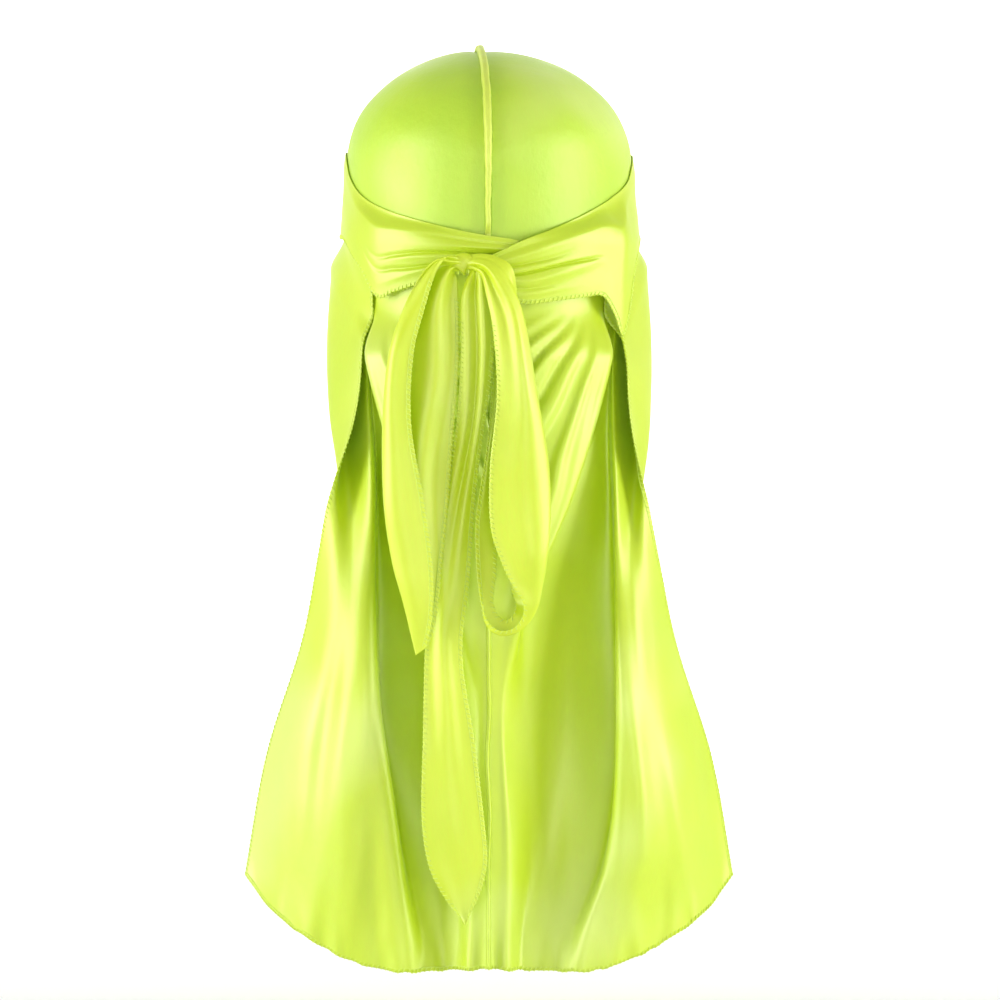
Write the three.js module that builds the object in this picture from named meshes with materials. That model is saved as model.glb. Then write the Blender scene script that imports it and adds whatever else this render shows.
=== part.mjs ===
// A long-tailed satin durag, tied at the back of the head with a half bow.
// Millimetres. +Z is up, +Y is the way the wearer faces, and the tied back looks along -Y.
// The origin is the middle of the head hollow, at the level where the head is widest.
import * as THREE from "three";

// Driving sizes
const cloth = 1.0; // wall of every sheet of cloth
const layerGap = 0.5; // room between two layers that lie on each other
const headHalfWidth = 74.6; // inside of the crown, at the widest level
const headBack = 95; // origin to the inside of the crown at the back
const headFront = 94; // origin to the inside of the crown at the forehead
const crownHeight = 59; // origin to the inside of the crown at the top
const headSquareness = 2.15; // exponent of the head's oval; 2 is an ellipse
const napeTaper = 0.1; // share that the head draws in at the nape
const napeRim = -84; // height where the head has drawn in to the nape
const seamSkew = 5.8; // how far the crown's seam lies to the left at the top of the head
const seamHeight = 3.2; // how far the crown's seam stands up
const seamWidth = 1.9;
const tailSeamHeight = 1.8; // how far the tail's seam stands up
const tailSeamWidth = 1.4;
const strapReach = 90; // the length that the straps' heights are shares of
const pleatDepth = 1.6; // of the straps' gathers at the knot
const tailTop = -60; // height of the tail's edge, hidden under the straps
const tailSlack = 34; // height in which the tail comes away from the head below the straps
const tailDrop = 421; // origin down to the lowest point of the hem
const tailHalfWidth = 127.5; // at the corners of the hem
const tailDepth = headBack - 5; // origin back to the tail's seam
const hemRise = 43; // how much higher the hem is at its corners
const cowlPleat = 2.6; // depth of the swags in the gathered top of the tail
const swagSpacing = 30;
const knotPlace = new THREE.Vector3(-13, -(headBack + 11.9), -57);
const knotSize = new THREE.Vector3(12, 11.6, 15);
const knotWall = 1.2;
const bowDrop = 190; // the length that the loop's heights are shares of
const shortEndDrop = 200;
const longEndDrop = 340;
const bowWidth = 80; // the width that the bow's x are shares of
const bowDepth = 20;

const radians = THREE.MathUtils.degToRad;
const lerp = THREE.MathUtils.lerp;
const clamp = THREE.MathUtils.clamp;
const smooth = THREE.MathUtils.smoothstep;

// Reads one column of a table at a place along its rows, on a smooth curve through the rows.
function along(table, key, column, at) {
  const last = table.length - 1;
  let i = 0;
  while (i < last - 1 && table[i + 1][key] < at) i++;
  const slope = (k) => {
    const before = table[Math.max(k - 1, 0)];
    const after = table[Math.min(k + 1, last)];
    return (after[column] - before[column]) / (after[key] - before[key]);
  };
  const from = table[i];
  const to = table[i + 1];
  const span = to[key] - from[key];
  const t = clamp((at - from[key]) / span, 0, 1);
  const h = t * t * (3 - 2 * t);
  return (
    from[column] * (1 - h) +
    to[column] * h +
    span * slope(i) * t * (1 - t) * (1 - t) -
    span * slope(i + 1) * t * t * (1 - t)
  );
}

// A closed wall of cloth over a grid. place(u, v) is a point of its middle surface, and round
// says that u goes all the way round and meets itself.
function clothWall(across, down, place, { wall = cloth, round = false } = {}) {
  const point = [];
  for (let j = 0; j <= down; j++)
    for (let i = 0; i <= across; i++) point.push(place(round && i === across ? 0 : i / across, j / down));
  const index = (i, j) => j * (across + 1) + i;
  const normals = new Map();
  const normalAt = (p) => {
    const key = p.toArray().map((value) => Math.round(value * 1e3)).join();
    if (!normals.has(key)) normals.set(key, new THREE.Vector3());
    return normals.get(key);
  };
  for (let j = 0; j < down; j++)
    for (let i = 0; i < across; i++) {
      const [a, b, c, d] = [index(i, j), index(i + 1, j), index(i + 1, j + 1), index(i, j + 1)];
      const one = point[c].clone().sub(point[a]);
      const other = point[d].clone().sub(point[b]);
      const normal = one.cross(other).normalize();
      for (const k of [a, b, c, d]) normalAt(point[k]).add(normal);
    }
  const shifted = (side) =>
    point.map((p) => normalAt(p).clone().setLength((side * wall) / 2).add(p));
  const front = shifted(1);
  const back = shifted(-1);
  const positions = [];
  const triangle = (p, q, r) => {
    if (p.distanceTo(q) < 2e-3 || q.distanceTo(r) < 2e-3 || r.distanceTo(p) < 2e-3) return;
    positions.push(...p, ...q, ...r);
  };
  const quad = (p, q, r, s) => {
    triangle(p, q, r);
    triangle(p, r, s);
  };
  const rim = (m, n) => quad(front[m], back[m], back[n], front[n]);
  for (let j = 0; j < down; j++)
    for (let i = 0; i < across; i++) {
      const [a, b, c, d] = [index(i, j), index(i + 1, j), index(i + 1, j + 1), index(i, j + 1)];
      quad(front[a], front[b], front[c], front[d]);
      quad(back[d], back[c], back[b], back[a]);
      if (j === 0) rim(a, b);
      if (j === down - 1) rim(c, d);
      if (!round && i === across - 1) rim(b, c);
      if (!round && i === 0) rim(d, a);
    }
  return closed(positions);
}

// Turns a list of triangles into a geometry whose faces point out.
function closed(positions) {
  let volume = 0;
  for (let k = 0; k < positions.length; k += 9) {
    const [a, b, c] = [0, 3, 6].map((m) => new THREE.Vector3().fromArray(positions, k + m));
    volume += a.dot(b.cross(c)) / 6;
  }
  if (volume < 0)
    for (let k = 0; k < positions.length; k += 9)
      for (let m = 0; m < 3; m++) {
        const held = positions[k + 3 + m];
        positions[k + 3 + m] = positions[k + 6 + m];
        positions[k + 6 + m] = held;
      }
  const geometry = new THREE.BufferGeometry();
  geometry.setAttribute("position", new THREE.Float32BufferAttribute(positions, 3));
  geometry.computeVertexNormals();
  return geometry;
}

// A point on the head. angle is round the head from the ear: 90 is the back and -90 the forehead.
// offset is how far out from the head it stands, and side is 1 on the right and -1 on the left.
function onHead(angle, z, offset, side = 1) {
  const rise = clamp(z / (crownHeight + offset), 0, 1);
  const round = Math.sqrt(Math.max(1 - rise * rise, 0));
  const sink = clamp(z / napeRim, 0, 1.4);
  const drawIn = napeTaper * sink * sink;
  const wide = (headHalfWidth * (1 - 0.3 * drawIn) + offset) * round;
  const deep = angle > 0 ? (headBack * (1 - drawIn) + offset) * round : (headFront + offset) * round;
  const c = Math.cos(radians(angle));
  const s = Math.sin(radians(angle));
  const power = 2 / headSquareness;
  return new THREE.Vector3(
    side * wide * Math.sign(c) * Math.abs(c) ** power,
    -deep * Math.sign(s) * Math.abs(s) ** power,
    z,
  );
}

// The crown's seam runs a little askew, most at the top, and draws the cloth beside it along.
function skewed(point) {
  const nearness = Math.max(1 - Math.abs(point.x) / headHalfWidth, 0);
  const upwards = point.y < 0 ? 1 + point.y / (headBack + 4) : 1 - (0.6 * point.y) / headFront;
  const shift = -seamSkew * Math.max(upwards, 0) * nearness * nearness;
  return point.clone().add(new THREE.Vector3(shift, 0, 0));
}

// Height of the crown's edge, a share of strapReach: on the forehead it shows, elsewhere it is
// under the straps
const crownEdge = [
  { angle: -90, height: 0.0889 },
  { angle: -62, height: 0.0556 },
  { angle: -40, height: -0.0667 },
  { angle: -20, height: -0.2111 },
  { angle: 0, height: -0.3444 },
  { angle: 18, height: -0.4111 },
  { angle: 40, height: -0.6444 },
  { angle: 65, height: -0.7333 },
  { angle: 90, height: -0.7667 },
];

const satin = (name) =>
  new THREE.MeshStandardMaterial({ name, color: 0xd4f23c, roughness: 0.38, metalness: 0 });

const durag = new THREE.Group();
function add(name, geometry, material = satin("satin")) {
  const mesh = new THREE.Mesh(geometry, material);
  mesh.name = name;
  durag.add(mesh);
}

// Crown: two panels, from the seam over the head down to the edge. The two halves meet along
// the seam, so each stands half a gap off the middle.
const seamHalfGap = 0.25;
function crownPanel(side) {
  const place = (u, v) => {
    const angle = lerp(-90, 90, u);
    const rim = along(crownEdge, "angle", "height", angle) * strapReach;
    const quarter = Math.PI / 2;
    const low = rim < 0 ? rim / (crownHeight * quarter) : Math.asin(rim / crownHeight) / quarter;
    const q = lerp(low, 1, v);
    const z = q < 0 ? q * crownHeight * quarter : (crownHeight + cloth / 2) * Math.sin(q * quarter);
    const point = skewed(onHead(angle, z, cloth / 2, side));
    return point.add(new THREE.Vector3(side * seamHalfGap, 0, 0));
  };
  return clothWall(24, 11, place);
}
add("crown_left", crownPanel(-1));
add("crown_right", crownPanel(1));

// Crown seam: the seam allowance stands up outside, from the forehead to the straps.
const seamEndAtStraps = -35;
function crownSeam() {
  const quarter = Math.PI / 2;
  const front = Math.asin((crownEdge[0].height * strapReach) / crownHeight) / quarter;
  const back = -seamEndAtStraps / (crownHeight * quarter);
  const place = (u, v) => {
    const q = lerp(front, 2 + back, u);
    const past = q > 2;
    const turn = quarter * Math.min(q, 2);
    const z = past ? -(q - 2) * crownHeight * quarter : crownHeight * Math.sin(turn);
    const y = Math.cos(turn) > 0 ? headFront : headBack;
    const out = past
      ? new THREE.Vector3(0, -1, 0)
      : new THREE.Vector3(0, Math.cos(turn) / y, Math.sin(turn) / crownHeight).normalize();
    const base = past ? onHead(90, z, 0) : new THREE.Vector3(0, Math.cos(turn) * y, z);
    return skewed(base).add(out.multiplyScalar(cloth + 0.5 + v * seamHeight));
  };
  return clothWall(30, 1, place, { wall: seamWidth });
}
add("crown_seam", crownSeam());

// Straps. angle runs from the temple to the knot, top and bottom are the edges' heights as
// shares of strapReach, and liftTop and liftBottom how many layers of cloth lie under them above
// and below the tail's top.
const rightStrap = [
  { angle: -64, top: 0.1, bottom: 0.03, liftTop: 1.5, liftBottom: 1.5 },
  { angle: -52, top: 0.085, bottom: -0.05, liftTop: 1.5, liftBottom: 1.5 },
  { angle: -28, top: 0.05, bottom: -0.22, liftTop: 1.5, liftBottom: 1.6 },
  { angle: 0, top: 0.015, bottom: -0.44, liftTop: 1.5, liftBottom: 3.0 },
  { angle: 12, top: -0.01, bottom: -0.47, liftTop: 1.5, liftBottom: 4.0 },
  { angle: 18, top: -0.03, bottom: -0.56, liftTop: 1.6, liftBottom: 5.8 },
  { angle: 24, top: -0.09, bottom: -0.88, liftTop: 1.7, liftBottom: 7.8 },
  { angle: 30, top: -0.16, bottom: -1.04, liftTop: 1.8, liftBottom: 8.4 },
  { angle: 36, top: -0.19, bottom: -0.88, liftTop: 1.8, liftBottom: 6.6 },
  { angle: 42, top: -0.215, bottom: -0.81, liftTop: 1.8, liftBottom: 4.6 },
  { angle: 48, top: -0.24, bottom: -0.81, liftTop: 1.9, liftBottom: 4.0 },
  { angle: 65, top: -0.37, bottom: -0.835, liftTop: 2.6, liftBottom: 3.8 },
  { angle: 80, top: -0.5, bottom: -0.855, liftTop: 4.2, liftBottom: 4.6 },
  { angle: 90, top: -0.595, bottom: -0.79, liftTop: 5.2, liftBottom: 5.3 },
  { angle: 96, top: -0.63, bottom: -0.73, liftTop: 5.4, liftBottom: 5.4 },
];
const leftStrap = [
  { angle: -64, top: 0.1, bottom: 0.03, liftTop: 1.5, liftBottom: 1.5 },
  { angle: -52, top: 0.085, bottom: -0.05, liftTop: 1.5, liftBottom: 1.5 },
  { angle: -28, top: 0.05, bottom: -0.22, liftTop: 1.5, liftBottom: 1.6 },
  { angle: 0, top: 0.015, bottom: -0.43, liftTop: 1.5, liftBottom: 2.6 },
  { angle: 10, top: -0.01, bottom: -0.44, liftTop: 1.5, liftBottom: 3.3 },
  { angle: 17, top: -0.14, bottom: -0.455, liftTop: 1.5, liftBottom: 3.8 },
  { angle: 23, top: -0.19, bottom: -0.485, liftTop: 1.5, liftBottom: 4.6 },
  { angle: 31, top: -0.245, bottom: -0.57, liftTop: 1.5, liftBottom: 4.9 },
  { angle: 37, top: -0.28, bottom: -0.66, liftTop: 1.5, liftBottom: 5.0 },
  { angle: 46, top: -0.315, bottom: -0.81, liftTop: 1.5, liftBottom: 4.8 },
  { angle: 55, top: -0.35, bottom: -0.785, liftTop: 1.6, liftBottom: 3.8 },
  { angle: 64, top: -0.4, bottom: -0.75, liftTop: 1.8, liftBottom: 3.2 },
  { angle: 77, top: -0.445, bottom: -0.7, liftTop: 2.2, liftBottom: 2.6 },
  { angle: 90, top: -0.475, bottom: -0.675, liftTop: 2.4, liftBottom: 2.6 },
  { angle: 100, top: -0.5, bottom: -0.665, liftTop: 2.4, liftBottom: 2.6 },
];
const strapPleats = 2.5;
const strapTopLevel = 24; // down to here the straps lie on the crown
const strapTailLevel = 44; // and from here on over the tail
function strap(rows, side) {
  const first = rows[0].angle;
  const last = rows[rows.length - 1].angle;
  const place = (u, v) => {
    const angle = lerp(first, last, u);
    const at = (column) => along(rows, "angle", column, angle);
    const z = lerp(at("top"), at("bottom"), v) * strapReach;
    const layers = lerp(at("liftTop"), at("liftBottom"), smooth(-z, strapTopLevel, strapTailLevel));
    const gather = smooth(angle, 25, 80) * pleatDepth;
    const pleat = gather * 0.5 * (1 - Math.cos(v * Math.PI * 2 * strapPleats));
    const offset = layers * (cloth + layerGap) + cloth / 2 + pleat;
    return onHead(angle, z, offset, side);
  };
  return clothWall(28, 9, place);
}
add("strap_left", strap(leftStrap, -1));
add("strap_right", strap(rightStrap, 1));

// Tail: two halves, sewn together down the middle, gathered under the straps and open below.
// Their top lies on the head between the crown and the straps, by these fold lines. angle is
// round the head from the ear, offset stands off it, top is the hidden edge's height, and
// release is the height where the straps let the cloth go, both shares of strapReach.
const tailTopLines = [
  { line: 0, angle: 90, offset: 2.1, top: -0.6667, release: -0.8 },
  { line: 1, angle: 66, offset: 2.1, top: -0.6444, release: -0.8 },
  { line: 2, angle: 46, offset: 2.1, top: -0.5556, release: -0.8 },
  { line: 3, angle: 39, offset: 2.1, top: -0.5111, release: -0.7778 },
  { line: 4, angle: 32, offset: 2.1, top: -0.4667, release: -0.7333 },
  { line: 5, angle: 24, offset: 2.1, top: -0.4556, release: -0.6667 },
  { line: 6, angle: 14, offset: 1.3, top: -0.4333, release: -0.5556 },
  { line: 7, angle: 3, offset: 1.8, top: -0.4222, release: -0.4444 },
  { line: 8, angle: 12, offset: 3.1, top: -0.4222, release: -0.4778 },
  { line: 9, angle: 40, offset: 4.1, top: -0.5111, release: -0.8889 },
];
// Below, each row is a level, with drop the share of the way down. x is a share of the tail's
// half width and y how far back a fold line lies, a share of the tail's depth. From the middle
// out: cowl is the edge of the gathered top, behind where it turns back, deep and floor the
// hollow beside it, nose the crease beyond, turn and swell the side fold, free the free edge.
const tailLevels = [
  { drop: 0.0, midX: 0.25, midY: 0.97, cowlX: 0.48, cowlY: 0.72, behindX: 0.5, behindY: 0.66, deepX: 0.52, deepY: 0.6, floorX: 0.54, floorY: 0.5, noseX: 0.57, noseY: 0.36, turnX: 0.635, turnY: -0.08, swellX: 0.65, swellY: 0.14, freeX: 0.545, freeY: 0.58 },
  { drop: 0.1, midX: 0.25, midY: 1.0, cowlX: 0.475, cowlY: 0.82, behindX: 0.455, behindY: 0.72, deepX: 0.475, deepY: 0.67, floorX: 0.505, floorY: 0.62, noseX: 0.53, noseY: 0.54, turnX: 0.63, turnY: 0.06, swellX: 0.665, swellY: 0.28, freeX: 0.55, freeY: 0.7 },
  { drop: 0.21, midX: 0.22, midY: 1.02, cowlX: 0.43, cowlY: 0.88, behindX: 0.405, behindY: 0.76, deepX: 0.445, deepY: 0.69, floorX: 0.485, floorY: 0.66, noseX: 0.52, noseY: 0.64, turnX: 0.61, turnY: 0.34, swellX: 0.655, swellY: 0.46, freeX: 0.58, freeY: 0.76 },
  { drop: 0.33, midX: 0.16, midY: 1.03, cowlX: 0.325, cowlY: 0.95, behindX: 0.3, behindY: 0.82, deepX: 0.42, deepY: 0.71, floorX: 0.495, floorY: 0.69, noseX: 0.515, noseY: 0.76, turnX: 0.575, turnY: 0.66, swellX: 0.615, swellY: 0.7, freeX: 0.635, freeY: 0.74 },
  { drop: 0.47, midX: 0.08, midY: 1.03, cowlX: 0.165, cowlY: 1.02, behindX: 0.15, behindY: 0.9, deepX: 0.33, deepY: 0.73, floorX: 0.505, floorY: 0.7, noseX: 0.512, noseY: 0.88, turnX: 0.575, turnY: 0.9, swellX: 0.635, swellY: 0.84, freeX: 0.69, freeY: 0.7 },
  { drop: 0.61, midX: 0.04, midY: 0.99, cowlX: 0.08, cowlY: 0.95, behindX: 0.16, behindY: 0.86, deepX: 0.32, deepY: 0.74, floorX: 0.515, floorY: 0.73, noseX: 0.517, noseY: 0.95, turnX: 0.6, turnY: 0.99, swellX: 0.68, swellY: 0.86, freeX: 0.76, freeY: 0.64 },
  { drop: 0.8, midX: 0.05, midY: 0.97, cowlX: 0.1, cowlY: 0.93, behindX: 0.18, behindY: 0.86, deepX: 0.32, deepY: 0.77, floorX: 0.51, floorY: 0.8, noseX: 0.535, noseY: 0.95, turnX: 0.65, turnY: 0.96, swellX: 0.79, swellY: 0.78, freeX: 0.91, freeY: 0.48 },
  { drop: 1.0, midX: 0.06, midY: 0.97, cowlX: 0.12, cowlY: 0.94, behindX: 0.2, behindY: 0.9, deepX: 0.34, deepY: 0.86, floorX: 0.46, floorY: 0.88, noseX: 0.56, noseY: 0.93, turnX: 0.7, turnY: 0.9, swellX: 0.86, swellY: 0.7, freeX: 1.0, freeY: 0.36 },
];
const foldLines = ["mid", "cowl", "behind", "deep", "floor", "nose", "turn", "swell", "free"];
const outermost = foldLines.length;

// The fold lines met at a level, from the seam out, as rows of a table
function sectionAt(drop) {
  const lines = foldLines.map((name, k) => ({
    line: k + 1,
    x: along(tailLevels, "drop", name + "X", drop) * tailHalfWidth,
    y: -along(tailLevels, "drop", name + "Y", drop) * tailDepth,
  }));
  const seamY = -tailDepth * (1.05 - 0.06 * smooth(drop, 0.4, 0.7));
  return [{ line: -1, x: -lines[0].x, y: lines[0].y }, { line: 0, x: 0, y: seamY }, ...lines];
}
function hemHeight(across) {
  const corner = Math.max(across - 0.5, 0) / 0.5;
  return -tailDrop + 3 * (1 - smooth(across, 0, 0.4)) + hemRise * corner ** 1.9;
}
function tailPoint(line, v) {
  const at = (column) => along(tailTopLines, "line", column, line);
  const z = lerp(at("top") * strapReach, hemHeight(line / outermost), v);
  const drop = clamp((tailTop - z) / (tailTop - hemHeight(line / outermost)), 0, 1);
  const section = sectionAt(drop);
  let y = along(section, "line", "y", line);
  const gathered = 1 - smooth(line, 1.2, 2);
  const slack = smooth(drop, 0.06, 0.14) * (1 - smooth(drop, 0.35, 0.5));
  const x = along(section, "line", "x", line);
  const swag = (tailTop - z + 1.7 * Math.hypot(x, 8)) / swagSpacing;
  y += cowlPleat * Math.sin(swag * 2 * Math.PI) * gathered * slack;
  const hanging = new THREE.Vector3(x, y, z);
  const held = onHead(at("angle"), z, at("offset"));
  const release = -at("release") * strapReach;
  return held.lerp(hanging, smooth(-z, release, release + tailSlack));
}
function tailHalf(side) {
  const place = (u, v) => {
    const point = tailPoint(u * outermost, v);
    point.x = side * (point.x + seamHalfGap);
    return point;
  };
  return clothWall(outermost * 3, 16, place);
}
add("tail_left", tailHalf(-1));
add("tail_right", tailHalf(1));

// Tail seam: the ridge down the middle of the open part of the tail
function tailSeam() {
  const from = 0.45;
  const place = (u, v) => {
    const foot = tailPoint(0, lerp(from, 0.995, u));
    return foot.add(new THREE.Vector3(0, -(cloth / 2 + 0.5 + v * tailSeamHeight), 0));
  };
  return clothWall(14, 1, place, { wall: tailSeamWidth });
}
add("tail_seam", tailSeam());

// Knot: the cloth wound round the middle of the bow, a short sleeve lying across. The bow's
// pieces go into its open ends.
function knot() {
  const half = knotSize.clone().multiplyScalar(0.5);
  const place = (u, v) => {
    const around = -u * 2 * Math.PI;
    const fold = 1 - 0.05 * (1 - Math.cos(v * Math.PI * 4)) - 0.06 * (2 * v - 1) ** 2;
    return new THREE.Vector3(
      knotPlace.x + half.x * (2 * v - 1),
      knotPlace.y + half.y * Math.cos(around) * fold,
      knotPlace.z + half.z * Math.sin(around) * fold,
    );
  };
  return clothWall(16, 6, place, { wall: knotWall, round: true });
}
add("knot", knot());

// The bow: two ends and a loop of the straps. Each row is a place along the piece and a line
// across it, through a, b and c. X and Z are measured right and down from the knot, Y back from
// it, as shares of bowWidth, of the piece's drop and of bowDepth.
// Folded lengthwise: a is the front edge, b the fold and c the edge behind.
const shortEnd = [
  { along: 0.00, aX: -0.006, aZ: -0.003, aY: -0.06, bX: -0.006, bZ: 0.004, bY: -0.09, cX: -0.006, cZ: 0.012, cY: 0.00 },
  { along: 0.03, aX: -0.075, aZ: -0.006, aY: -0.06, bX: -0.082, bZ: 0.005, bY: -0.11, cX: -0.076, cZ: 0.014, cY: 0.01 },
  { along: 0.06, aX: -0.107, aZ: 0.005, aY: -0.12, bX: -0.132, bZ: -0.000, bY: -0.14, cX: -0.088, cZ: 0.027, cY: 0.03 },
  { along: 0.10, aX: -0.144, aZ: 0.046, aY: -0.30, bX: -0.202, bZ: 0.020, bY: -0.15, cX: -0.069, cZ: 0.060, cY: 0.05 },
  { along: 0.18, aX: -0.195, aZ: 0.128, aY: -0.45, bX: -0.303, bZ: 0.102, bY: -0.28, cX: -0.019, cZ: 0.126, cY: 0.03 },
  { along: 0.30, aX: -0.320, aZ: 0.249, aY: -0.55, bX: -0.422, bZ: 0.223, bY: -0.35, cX: -0.025, cZ: 0.248, cY: -0.05 },
  { along: 0.45, aX: -0.320, aZ: 0.413, aY: -0.60, bX: -0.492, bZ: 0.405, bY: -0.38, cX: -0.050, cZ: 0.412, cY: -0.10 },
  { along: 0.62, aX: -0.251, aZ: 0.610, aY: -0.60, bX: -0.498, bZ: 0.603, bY: -0.38, cX: -0.094, cZ: 0.610, cY: -0.12 },
  { along: 0.76, aX: -0.200, aZ: 0.759, aY: -0.57, bX: -0.448, bZ: 0.754, bY: -0.35, cX: -0.132, cZ: 0.755, cY: -0.12 },
  { along: 0.88, aX: -0.194, aZ: 0.868, aY: -0.53, bX: -0.372, bZ: 0.868, bY: -0.33, cX: -0.164, cZ: 0.868, cY: -0.15 },
  { along: 0.95, aX: -0.220, aZ: 0.936, aY: -0.47, bX: -0.328, bZ: 0.941, bY: -0.31, cX: -0.195, cZ: 0.932, cY: -0.17 },
  { along: 1.00, aX: -0.245, aZ: 0.982, aY: -0.42, bX: -0.296, bZ: 0.995, bY: -0.30, cX: -0.233, cZ: 0.977, cY: -0.20 },
];
const longEnd = [
  { along: 0.00, aX: 0.019, aZ: 0.010, aY: 0.10, bX: 0.019, bZ: 0.004, bY: 0.10, cX: 0.019, cZ: -0.002, cY: 0.10 },
  { along: 0.02, aX: 0.089, aZ: 0.010, aY: 0.10, bX: 0.095, bZ: 0.004, bY: 0.10, cX: 0.095, cZ: -0.002, cY: 0.10 },
  { along: 0.04, aX: 0.108, aZ: 0.029, aY: 0.14, bX: 0.133, bZ: 0.021, bY: 0.10, cX: 0.159, cZ: 0.014, cY: 0.12 },
  { along: 0.09, aX: 0.032, aZ: 0.056, aY: 0.17, bX: 0.108, bZ: 0.053, bY: 0.07, cX: 0.178, cZ: 0.050, cY: 0.12 },
  { along: 0.17, aX: -0.006, aZ: 0.130, aY: 0.20, bX: 0.102, bZ: 0.131, bY: 0.05, cX: 0.197, cZ: 0.130, cY: 0.12 },
  { along: 0.28, aX: -0.070, aZ: 0.235, aY: 0.23, bX: 0.045, bZ: 0.235, bY: 0.07, cX: 0.159, cZ: 0.235, cY: 0.15 },
  { along: 0.40, aX: -0.159, aZ: 0.354, aY: 0.25, bX: -0.032, bZ: 0.354, bY: 0.11, cX: 0.102, cZ: 0.354, cY: 0.20 },
  { along: 0.52, aX: -0.222, aZ: 0.474, aY: 0.25, bX: -0.089, bZ: 0.474, bY: 0.12, cX: 0.038, cZ: 0.474, cY: 0.23 },
  { along: 0.64, aX: -0.242, aZ: 0.586, aY: 0.25, bX: -0.127, bZ: 0.586, bY: 0.15, cX: -0.013, cZ: 0.586, cY: 0.25 },
  { along: 0.76, aX: -0.254, aZ: 0.713, aY: 0.25, bX: -0.095, bZ: 0.713, bY: 0.17, cX: 0.070, cZ: 0.713, cY: 0.25 },
  { along: 0.87, aX: -0.267, aZ: 0.833, aY: 0.25, bX: -0.070, bZ: 0.832, bY: 0.17, cX: 0.133, cZ: 0.833, cY: 0.25 },
  { along: 0.93, aX: -0.222, aZ: 0.905, aY: 0.25, bX: -0.038, bZ: 0.904, bY: 0.20, cX: 0.152, cZ: 0.896, cY: 0.25 },
  { along: 0.97, aX: -0.140, aZ: 0.945, aY: 0.25, bX: -0.013, bZ: 0.949, bY: 0.21, cX: 0.114, cZ: 0.942, cY: 0.25 },
  { along: 1.00, aX: -0.006, aZ: 0.984, aY: 0.25, bX: 0.006, bZ: 0.988, bY: 0.24, cX: 0.025, cZ: 0.982, cY: 0.25 },
];
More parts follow.
